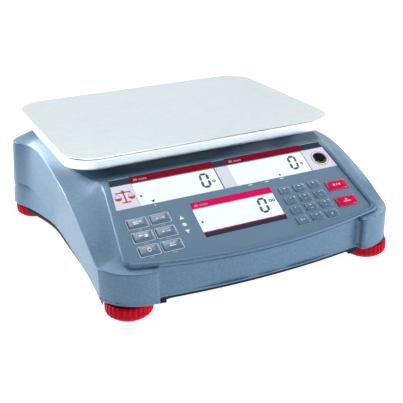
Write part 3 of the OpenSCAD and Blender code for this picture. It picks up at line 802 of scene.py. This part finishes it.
def buildFoot(corner):
    low, high = nodeBox("foot_wheel_" + corner)
    cx, cy = (low[0] + high[0]) / 2, (low[1] + high[1]) / 2
    top = nodeBox("foot_wheel_fl")[1][2] - 14.0  # the wheel's top, under its stud
    count = foot["ribs"] * foot["stepsPerRib"]
    levels = [(-4.2, 4.9, 0), (-3.6, 4.7, 0), (-3.4, 2.2, 0), (-2.9, 2.0, 0), (-1.8, 2.15, 0.6),
              (-0.8, 2.9, 1), (-0.25, 4.0, 1), (0, 5.4, 1), (0, 8, 1), (0, top - 2.2, 1),
              (-0.25, top - 1.1, 1), (-0.9, top - 0.3, 0.9), (-1.9, top, 0.5), (-3.4, top, 0)]
    loops = []
    for inset, z, amount in levels:
        loop = []
        for k in range(count):
            a = 2 * math.pi * k / count
            groove = (0.5 + 0.5 * math.cos(foot["ribs"] * a)) ** 2.2
            radius = wheelRadius + inset - foot["depth"] * amount * groove
            loop.append((cx + radius * math.cos(a), cy + radius * math.sin(a), z))
        loops.append(loop)
    stud = turned([(7.5, top - 0.5), (7.5, top + 0.35), (7.0, top + 0.6), (4.0, top + 0.6), (4.0, top + 13.2),
                   (3.3, top + 13.9)], (cx, cy, 0), 40)
    wheel = meshFrom("footWheel", *joined([stackLoops(loops), stud]), sharp=42)
    node = "foot_wheel_" + corner
    makePiece("footWheel_" + corner, wheel, footRed, node, [node])
    padRadius = wheelRadius - 4
    grooves = []
    for k in range(5):
        r = 3 + 2.9 * k
        grooves += [(r, 0.0), (r + 0.15, 0.45), (r + 0.75, 0.45), (r + 0.9, 0.0)]
    profile = [(2.0, 0.0)] + grooves + [(padRadius - 0.8, 0.0), (padRadius - 0.2, 0.25), (padRadius, 0.9),
                                        (padRadius, 4.1), (padRadius - 0.5, 4.6)]
    pad = meshFrom("footPad", *turned(profile, (cx, cy, 0), 64), sharp=40)
    node = "foot_pad_" + corner
    makePiece("footPad_" + corner, pad, blackRubber, node, [node])


for corner in ("fl", "fr", "bl", "br"):
    buildFoot(corner)
print("feet made")


# printing on the panel
def panelPlate(shapes, low, high):  # thin plates of any outline, in panel coordinates
    return joined([flatShape(outline, low, high) for outline in shapes])


def panelPiece(name, shape, material, standsFor=()):  # a fixed piece made in panel coordinates
    return makePiece(name, meshFrom(name, *shape, panelMatrix), material, "housing", standsFor)


def decal(name, shapes, material, high=0.05, low=-0.02):
    return panelPiece(name, panelPlate(shapes, low, high), material)


def box2(x0, s0, x1, s1):
    return [(x0, s0), (x1, s0), (x1, s1), (x0, s1)]


def discAt(x, s, r, steps=24):
    return circleLoop(x, s, r, steps)


windowLow, windowHigh = panelBox("lcd_weight")
unitLow, unitHigh = panelBox("lcd_unit_weight")
countLow, countHigh = panelBox("lcd_count")
levelAt = [(a + b) / 2 for a, b in zip(*panelBox("level_ring"))][:2]
display = {
    "left": windowLow[0] - 0.6, "split": (windowHigh[0] + unitLow[0]) / 2, "right": unitHigh[0] + 0.6,
    "low": windowLow[1] + 2.5, "high": windowHigh[1] - 2.5,
    "countLeft": countLow[0] - 0.6, "countRight": countHigh[0] + 0.6,
    "countLow": countLow[1] + 2.5, "countHigh": countHigh[1] - 2.5,
    "headerHeight": 8.4, "countHeader": 7.6, "unitField": 15.0, "digitHeight": 18.4, "digitWidth": 10.2,
    "stroke": 2.7, "lean": 0.09,
    # places of the lit marks, along and up the panel
    "digits": [(-25.3, 73.0), (76.2, 73.4), (18.9, 29.9)],
    "pointer": [(-86.4, 62.6), (-84.4, 59.6), (-82.4, 62.6)],
    "dots": [(-93.7, 69.6), (54.1, 61.6), (-48.3, 26.2)],
    "unitRings": [(-16.7, 70.4), (85.0, 70.4), (28.5, 33.5), (32.0, 33.5)],
}


def buildPrinting():
    d = display
    low, high = d["low"], d["high"]
    gap = 0.25
    # dark strip over the displays with its red headers
    stripTop = overlay["length"] - 0.5
    edge = lambda s: overlayHalf(s) - 0.5
    stripLow, headerTop = high + 0.6, high + d["headerHeight"]
    decal("topStrip", [[(-edge(stripLow), stripLow), (edge(stripLow), stripLow),
                        (edge(stripTop), stripTop), (-edge(stripTop), stripTop)]],
          darkFilm, 0.03)
    decal("headerWeight", [box2(d["left"], high + 0.5, d["split"] + 0.8, headerTop)],
          headerRed, 0.07)
    decal("headerUnit", [box2(d["split"] + d["unitField"], high + 0.5, d["right"] + 1.6, headerTop)],
          headerRed, 0.07)
    decal("headerCount", [box2(d["countLeft"], d["countHigh"] + gap, d["countRight"],
                               d["countHigh"] + d["countHeader"])], brightRed, 0.07)
    decal("countStrip", [box2(d["countLeft"], d["countLow"] - 6.4, d["countRight"], d["countLow"] - 1.2)],
          darkFilm, 0.07)
    decal("countLine", [box2(d["countLeft"], d["countLow"] - 1.2, d["countRight"], d["countLow"] - gap)],
          brightRed, 0.07)
    # pale fields left and right of the displays; the right one is cut round the level
    left, right = d["left"] - gap, d["right"] + gap
    decal("emblemField", [[(-edge(low), low), (left, low), (left, high), (-edge(high), high)]],
          glowingWhiteFilm, 0.05)
    plate = holedPlate([(right, low), (edge(low), low), (edge(high), high), (right, high)],
                       [discAt(levelAt[0], levelAt[1], 9.6, 48)], -0.02, 0.05)
    panelPiece("levelField", plate, glowingWhiteFilm)
    # thin lines: along the top edge, and between the displays
    lines = [box2(-edge(stripTop) + 0.4, stripTop - 0.1, edge(stripTop) - 0.4, stripTop + 0.4)]
    for x in (d["left"], d["right"]):
        lines.append(box2(x - gap, low, x + gap, high))
    lines.append(box2(d["left"] - 24, low - 0.5, d["right"] + 30, low - 0.05))
    decal("panelLines", lines, lineFilm, 0.06)
    # arrow, round and arrow marks beside the function keys, each over its lamp
    marks = []
    lampLow, lampHigh = panelBox("status_lamps")
    x, sTop, sLow = (lampLow[0] + lampHigh[0]) / 2, lampHigh[1] - 1.3, lampLow[1] + 1.3
    marks.append([(x - 2.5, sTop - 1.9), (x + 2.5, sTop - 1.9), (x, sTop + 2.6)])
    marks.append(discAt(x, (sTop + sLow) / 2, 2.1))
    marks.append([(x - 2.5, sLow + 1.9), (x, sLow - 2.6), (x + 2.5, sLow + 1.9)])
    lamps = decal("lampMarks", marks, lampWhite, 0.12)
    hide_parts("status_lamps")
    # short ticks under the upper displays and small signs in the headers
    ticks = [box2(tx - 2.2, low - 2.4, tx + 2.2, low - 1.6) for tx in (17.1, 35.8, 53.4)]
    ticks.append(box2(-85.0, low - 3.6, -84.3, low - 1.4))
    decal("ticks", ticks, glowingMarkWhite, 0.05)
    signs = []
    for x0, s0 in ((d["left"] + 3, high + 2.6), (d["split"] + d["unitField"] + 3, high + 2.6),
                   (d["countLeft"] + 3, d["countHigh"] + 2.1)):
        signs.append([(x0, s0), (x0 + 4.6, s0), (x0 + 3.7, s0 + 2.6), (x0 + 0.9, s0 + 2.6)])
        signs += [box2(x0 + 6 + 2.2 * k, s0, x0 + 7.5 + 2.2 * k, s0 + 1.9) for k in range(4)]
    decal("headerSigns", signs, signPale, 0.10)
    # a plain two-pan balance sign in the pale field
    cx, cs = (-edge((low + high) / 2) + d["left"]) / 2, (low + high) / 2
    sign = [box2(cx - 4.5, cs - 7.4, cx + 4.5, cs - 5.9), box2(cx - 0.8, cs - 6.4, cx + 0.8, cs + 6.2),
            box2(cx - 7.6, cs + 4.6, cx + 7.6, cs + 6.0), discAt(cx, cs + 6.4, 1.6)]
    for side in (-1, 1):
        px = cx + side * 6.6
        sign.append([(px - 3.6, cs - 0.6)] + [(px + 3.6 * math.cos(a), cs - 0.6 + 3.4 * math.sin(a))
                                              for a in [math.radians(180 + 15 * k) for k in range(1, 12)]]
                    + [(px + 3.6, cs - 0.6)])
        sign.append([(px - 3.4, cs - 0.7), (px - 2.9, cs - 0.7), (px + 0.2, cs + 4.8), (px - 0.2, cs + 4.8)])
        sign.append([(px + 2.9, cs - 0.7), (px + 3.4, cs - 0.7), (px + 0.2, cs + 4.8), (px - 0.2, cs + 4.8)])
    decal("balanceSign", sign, signRed, 0.10)


buildPrinting()


# displays
def segment(x0, s0, x1, s1, width):  # a bar with pointed ends
    a, b = Vector((x0, s0)), Vector((x1, s1))
    along = (b - a).normalized()
    side = Vector((-along.y, along.x)) * width / 2
    tip = along * width / 2
    return [tuple(p) for p in (a, a + tip + side, b - tip + side, b, b - tip - side, a + tip - side)]


def zeroDigit(cx, cs):
    w, h, t, lean = (display[k] for k in ("digitWidth", "digitHeight", "stroke", "lean"))
    x, y, g = w / 2 - t / 2, h / 2 - t / 2, 0.28
    corners = {"tl": (-x, y), "tr": (x, y), "ml": (-x, 0), "mr": (x, 0), "bl": (-x, -y), "br": (x, -y)}
    bars = []
    for a, b in (("tl", "tr"), ("tr", "mr"), ("mr", "br"), ("bl", "br"), ("tl", "ml"), ("ml", "bl")):
        p, q = Vector(corners[a]), Vector(corners[b])
        step = (q - p).normalized() * g
        bars.append([(cx + px + lean * py, cs + py) for px, py in segment(*(p + step), *(q - step), t)])
    return bars


def buildDisplay(name, node, x0, x1, s0, s1, field=0.0):
    low, high = panelBox(node)
    cx, cs = (x0 + x1) / 2, (s0 + s1) / 2
    cell = rectStack([(high[0] - low[0], high[1] - low[1], 0.6, low[2]),
                      (high[0] - low[0], high[1] - low[1], 0.6, -3.9),
                      (x1 - x0 - 0.3, s1 - s0 - 0.3, 0.6, -3.9),
                      (x1 - x0 - 0.3, s1 - s0 - 0.3, 0.6, -0.5)], (cx, cs), 3)
    panelPiece(name, cell, lcdFace, [node])
    if field:
        decal(name + "Field", [box2(x0 + 0.4, s0 + 0.4, x0 + field, s1 - 0.4)],
              glowingWhiteFilm, -0.44, -0.5)


def buildDisplays():
    d = display
    low, high = d["low"], d["high"]
    buildDisplay("weightDisplay", "lcd_weight", d["left"] + 0.2, d["split"], low, high)
    buildDisplay("unitDisplay", "lcd_unit_weight", d["split"], d["right"] - 0.2, low, high, d["unitField"])
    buildDisplay("countDisplay", "lcd_count", d["countLeft"], d["countRight"], d["countLow"], d["countHigh"])
    ink = []
    for x, s in d["digits"]:
        ink += zeroDigit(x, s)
    ink += [box2(x - 1.1, s - 1.1, x + 1.1, s + 1.1) for x, s in d["dots"]]
    ink.append(d["pointer"])
    decal("litSegments", ink, segmentInk, -0.42, -0.5)
    rings = [frameShape(discAt(x, s, 1.8, 20), discAt(x, s, 0.75, 20), -0.5, -0.42)
             for x, s in d["unitRings"]]
    panelPiece("unitMarks", joined(rings), segmentInk)
    decal("displaySplit", [box2(d["split"] - 0.35, low, d["split"] + 0.35, high)],
          darkFilm, -0.05, -0.5)


buildDisplays()


def buildWindows():
    d = display
    shapes = []
    for x0, x1, s0, s1 in ((d["left"], d["right"], d["low"], d["high"]),
                           (d["countLeft"], d["countRight"], d["countLow"], d["countHigh"])):
        w, h = x1 - x0, s1 - s0
        levels = [(w - 0.05, h - 0.05, 0.5, -0.4), (w - 0.05, h - 0.05, 0.5, -0.2),
                  (w - 0.3, h - 0.3, 0.5, -0.1)]
        shapes.append(rectStack(levels, ((x0 + x1) / 2, (s0 + s1) / 2), 3))
    panelPiece("windowSheets", joined(shapes), windowGlass, ["display_windows"])


buildWindows()
print("displays made")


# spirit level
def buildLevel():
    x, s = levelAt
    points, faces = turned([(7.75, -3.0), (9.3, -3.0), (9.3, 0.1), (9.0, 0.45), (8.2, 0.5), (7.75, 0.2),
                            (7.75, -3.0)], (x, s, 0), 64)
    panelPiece("levelRim", (points, faces[:-2]), glowingWhiteFilm, ["level_ring"])
    glass = turned([(7.4, -7.6), (7.6, -7.3), (7.6, -0.7), (7.2, -0.3), (5.0, 0.05), (2.5, 0.2), (0.8, 0.24)],
                   (x, s, 0), 48)
    panelPiece("levelGlass", glass, vialDark, ["level_vial"])
    line = frameShape(discAt(x, s, 9.75, 64), discAt(x, s, 9.3, 64), -0.02, 0.09)
    panelPiece("levelLine", line, brightRed)
    near = [math.radians(205 + 6.5 * k) for k in range(21)]  # a pale crescent of light in the liquid
    far = [math.radians(335 - 6.5 * k) for k in range(1, 20)]
    crescent = [(x + 6.9 * math.cos(a), s + 6.9 * math.sin(a)) for a in near]
    crescent += [(x + 5.6 * math.cos(a) * 1.04, s + 0.6 + 5.4 * math.sin(a)) for a in far]
    panelPiece("levelGlow", flatShape(crescent, -0.5, 0.02), vialGreen)


buildLevel()


# keys
def textMesh(name, text, size, matrix):  # a numeral as a thin mesh
    curve = bpy.data.curves.new(name, "FONT")
    curve.body = text
    curve.size = size
    curve.align_x, curve.align_y = "CENTER", "CENTER"
    curve.extrude = 0.03
    curve.offset = 0.06
    curve.resolution_u = 4
    holder = bpy.data.objects.new(name, curve)
    scene.collection.objects.link(holder)
    bpy.context.view_layer.update()
    mesh = bpy.data.meshes.new_from_object(holder.evaluated_get(bpy.context.evaluated_depsgraph_get()))
    bpy.data.objects.remove(holder)
    mesh.transform(matrix)
    mesh.transform(Matrix.Scale(mm, 4))
    mesh.materials.clear()
    return mesh


keyShape = {"corner": 1.0, "dome": 0.4, "outlineGap": 0.55, "outlineWidth": 0.38}
keyLabels = {"key_" + str(k): str(k) for k in range(10)}


def keySign(name, cx, cs):  # plain signs for the keys that carry no numeral
    signs = {
        "key_clear": [[(cx - 2.6, cs), (cx - 0.6, cs - 1.7), (cx - 0.6, cs - 0.6), (cx + 2.4, cs - 0.6),
                       (cx + 2.4, cs + 0.6), (cx - 0.6, cs + 0.6), (cx - 0.6, cs + 1.7)]],
        "key_point": [discAt(cx, cs - 1.0, 0.8, 16)],
        "function_key_1": [box2(cx - 4, cs + 0.5, cx + 4, cs + 1.5),
                           box2(cx - 4, cs - 1.4, cx + 1, cs - 0.4)],
        "function_key_2": [box2(cx - 4, cs - 0.5, cx + 4, cs + 0.5)],
        "function_key_3": [box2(cx - 4, cs + 0.3, cx, cs + 1.5), box2(cx + 1, cs - 1.5, cx + 4, cs + 1.5)],
        "function_key_4": [box2(cx - 4, cs - 0.5, cx - 1, cs + 0.5),
                           box2(cx + 0.4, cs - 0.5, cx + 4, cs + 0.5)],
        "function_key_6": [[(cx - 3, cs - 1.5), (cx + 3, cs - 1.5), (cx + 1.9, cs + 1.5),
                            (cx - 1.9, cs + 1.5)]],
        "sample_key": [box2(cx - 4.4 + 3.1 * k, cs - 1.2, cx - 2.4 + 3.1 * k, cs + 1.0) for k in range(3)],
        "tare_key": [box2(cx - 4.2, cs - 1.9, cx + 4.2, cs - 1.1),
                     [(cx - 1.9, cs + 0.6), (cx, cs - 0.9), (cx + 1.9, cs + 0.6)],
                     box2(cx - 0.45, cs + 0.4, cx + 0.45, cs + 2.2)],
    }
    return signs.get(name)


def buildKey(name):
    low, high = panelBox(name)
    capLow, capHigh = panelBox(name, 0.5)
    w, h = capHigh[0] - capLow[0], capHigh[1] - capLow[1]
    cx, cs, top = (capLow[0] + capHigh[0]) / 2, (capLow[1] + capHigh[1]) / 2, high[2]
    red = name in ("sample_key", "tare_key")
    r, dome = keyShape["corner"], keyShape["dome"]
    stemW, stemH = high[0] - low[0], high[1] - low[1]
    levels = [(stemW, stemH, r, low[2]), (stemW, stemH, r, low[2] + 1.1), (w, h, r, low[2] + 1.2),
              (w, h, r, top - 0.85), (w - 0.25, h - 0.25, r, top - 0.4),
              (w - 0.8, h - 0.8, r, top - 0.1), (w - 2.0, h - 2.0, r, top + dome * 0.45),
              (w * 0.6, h * 0.55, r, top + dome * 0.9), (w * 0.25, h * 0.2, 0.5, top + dome)]
    cap = meshFrom(name + "Cap", *rectStack(levels, (cx, cs), 5), panelMatrix, 50)
    makePiece(name + "Cap", cap, keyRed if red else keyCap, name, [name])
    signHeight = top + dome * 0.75
    label = None
    if name in keyLabels:
        label = textMesh(name + "Numeral", keyLabels[name], 6.4,
                         panelMatrix @ Matrix.Translation((cx, cs, signHeight + 0.05)))
    elif name == "function_key_5":
        ring = frameShape(discAt(cx, cs, 2.1), discAt(cx, cs, 1.4), signHeight - 0.3, signHeight + 0.1)
        label = meshFrom(name + "Sign", *ring, panelMatrix)
    elif keySign(name, cx, cs):
        plates = panelPlate(keySign(name, cx, cs), signHeight - 0.35, signHeight + 0.1)
        label = meshFrom(name + "Sign", *plates, panelMatrix)
    if label:
        makePiece(name + "Label", label, glowingMarkWhite, name)
    if not red:
        gap, line = keyShape["outlineGap"], keyShape["outlineWidth"]
        wide, tall = w + 2 * gap, h + 2 * gap
        outer = [(x + cx, y + cs) for x, y in roundRect(wide + 2 * line, tall + 2 * line, 1.5, 5)]
        inner = [(x + cx, y + cs) for x, y in roundRect(wide, tall, 1.2, 5)]
        panelPiece(name + "Outline", frameShape(outer, inner, -0.02, 0.06),
                   glowingMarkWhite if name.startswith("function") else lineFilm)
    if name.startswith("function"):
        legend = [box2(cx - 2.2, cs - h / 2 - 3.1, cx - 0.3, cs - h / 2 - 2.4),
                  box2(cx + 0.3, cs - h / 2 - 3.1, cx + 2.2, cs - h / 2 - 2.4)]
        decal(name + "Legend", legend, lineFilm, 0.05)


keyNames = [n for n in nodes if n.startswith(("key_", "function_key_"))] + ["sample_key", "tare_key"]
for name in sorted(keyNames):
    buildKey(name)
print("keys made:", len(keyNames))


# sockets at the back
def buildSockets():
    jack, port = nodeMiddle("power_jack"), nodeMiddle("data_port")
    back = cover["backY"]
    # turns a plate's x and y into x and z, with its thickness going in from the back wall
    turnBack = Matrix(((1, 0, 0, 0), (0, 0, -1, back), (0, 1, 0, 0), (0, 0, 0, 1)))
    portLoop = [(x + port[0], y + jack[2]) for x, y in roundRect(32, 13.5, 1.5, 4)]
    plate = holedPlate([(x + 76, y + 34) for x, y in roundRect(58.4, 20.4, 0.8, 4)],
                       [circleLoop(jack[0], jack[2], 6.3, 32), portLoop], 1.2, 3.0)
    mesh = meshFrom("socketPlate", *plate, turnBack)
    makePiece("socketPlate", mesh, trayPlastic, "housing")


buildSockets()


# materials and soft edges on the parts that keep their own shape
nodeLooks = {
    "keypad_overlay": (overlayFilm, 0), "keypad_mat": (greySilicone, 0.3),
    "display_board": (boardGreen, 0), "board_screws": (screwSteel, 0.2), "ribbon_cable": (ribbonGrey, 0),
    "main_board": (boardGreen, 0), "power_jack": (socketBlack, 0.2), "data_port": (portMetal, 0.2),
    "battery": (batteryCase, 0.8), "battery_door": (trayPlastic, 0.3), "load_cell_bracket": (castAlloy, 0.6),
    "load_cell": (cellAlloy, 0.4), "load_cell_screws": (screwBlack, 0.3),
    "overload_stops": (screwSteel, 0.25), "pan_support": (castAlloy, 0.6),
    "support_screws": (screwBlack, 0.3), "support_pads": (blackRubber, 0.8),
    "transport_lock": (lockRed, 0.35), "case_screws": (screwSteel, 0.25), "foot_inserts": (brassMetal, 0.2),
}
for name, (material, edge) in nodeLooks.items():
    node = nodes[name]
    node.data.materials.clear()
    node.data.materials.append(material)
    if edge:
        softenEdges(node, edge)
print("kept parts finished:", len(nodeLooks))


# floor, light and camera
studio = {
    "world": 0.05, "backdrop": 0.95, "floorGlow": 0.95, "floorShade": 0.3,
    "lamps": {  # place, target, size, power
        "keyPanel": ((-1.45, 1.8, 0.85), (0, 0, 0.05), 1.0, 80),
        "backPanel": ((1.1, 2.5, 1.35), (0, 0, 0.1), 3.0, 20),
        "rightPanel": ((1.7, -1.2, 0.5), (0, 0, 0.05), 1.0, 26),
        "rightBack": ((1.7, 0.9, 1.1), (0, 0, 0.05), 0.8, 11),
        "topPanel": ((-0.1, 0.7, 2.0), (0, 0, 0.05), 1.8, 30),
        "frontPanel": ((0.3, -2.7, 1.5), (0, 0, 0.05), 2.6, 10),
    },
}


def buildStage():
    size = 6.0
    mesh = bpy.data.meshes.new("floor")
    corners = [(-size, -size, 0), (size, -size, 0), (size, size, 0), (-size, size, 0)]
    mesh.from_pydata(corners, [], [(0, 1, 2, 3)])
    floor = bpy.data.objects.new("floor", mesh)
    scene.collection.objects.link(floor)
    pale = plastic("paleFloor", (*[studio["floorShade"]] * 3,), 0.7, 0.0, 0.5, 0.01,
                   Emission_Color=(1, 1, 1, 1), Emission_Strength=studio["floorGlow"])
    tree = pale.node_tree  # clear from below, so that the underside can be looked at
    split = tree.nodes.new("ShaderNodeMixShader")
    tree.links.new(addNode(tree, "NewGeometry").outputs["Backfacing"], split.inputs[0])
    tree.links.new(tree.nodes["Principled BSDF"].outputs[0], split.inputs[1])
    tree.links.new(addNode(tree, "BsdfTransparent").outputs[0], split.inputs[2])
    tree.links.new(split.outputs[0], tree.nodes["Material Output"].inputs["Surface"])
    mesh.materials.append(pale)


def buildLights():
    world = bpy.data.worlds.new("studio")
    scene.world = world
    world.use_nodes = True
    tree = world.node_tree
    tree.nodes["Background"].inputs["Color"].default_value = (1, 1, 1, 1)
    seen = addNode(tree, "LightPath")  # a pale backdrop that adds little light of its own
    glow = mathOf(tree, "MULTIPLY_ADD", seen.outputs["Is Camera Ray"], studio["backdrop"], studio["world"])
    tree.links.new(glow, tree.nodes["Background"].inputs["Strength"])
    for name, (place, target, size, power) in studio["lamps"].items():
        light = bpy.data.lights.new(name, "AREA")
        light.size = size
        light.energy = power
        lamp = bpy.data.objects.new(name, light)
        lamp.location = place
        lamp.rotation_euler = (Vector(target) - Vector(place)).to_track_quat("-Z", "Y").to_euler()
        scene.collection.objects.link(lamp)


def buildCamera():
    view = {"azimuth": -25.43, "elevation": 23.81, "roll": -1.06, "lens": 65.35,
            "place": (-0.3135, -0.6858, 0.3577)}
    a, e, roll = (math.radians(view[k]) for k in ("azimuth", "elevation", "roll"))
    back = Vector((math.sin(a) * math.cos(e), -math.cos(a) * math.cos(e), math.sin(e)))
    right = Vector((0, 0, 1)).cross(back).normalized()
    up = back.cross(right)
    right, up = right * math.cos(roll) + up * math.sin(roll), up * math.cos(roll) - right * math.sin(roll)
    lens = bpy.data.cameras.new("camera")
    lens.lens = view["lens"]
    lens.sensor_width = 36
    lens.clip_start = 0.01
    camera = bpy.data.objects.new("camera", lens)
    axes = Matrix((right, up, back)).transposed().to_4x4()
    camera.matrix_world = Matrix.Translation(view["place"]) @ axes
    scene.collection.objects.link(camera)
    scene.camera = camera


buildStage()
buildLights()
buildCamera()
scene.view_settings.view_transform = "Standard"
scene.view_settings.look = "None"
print("stage ready")
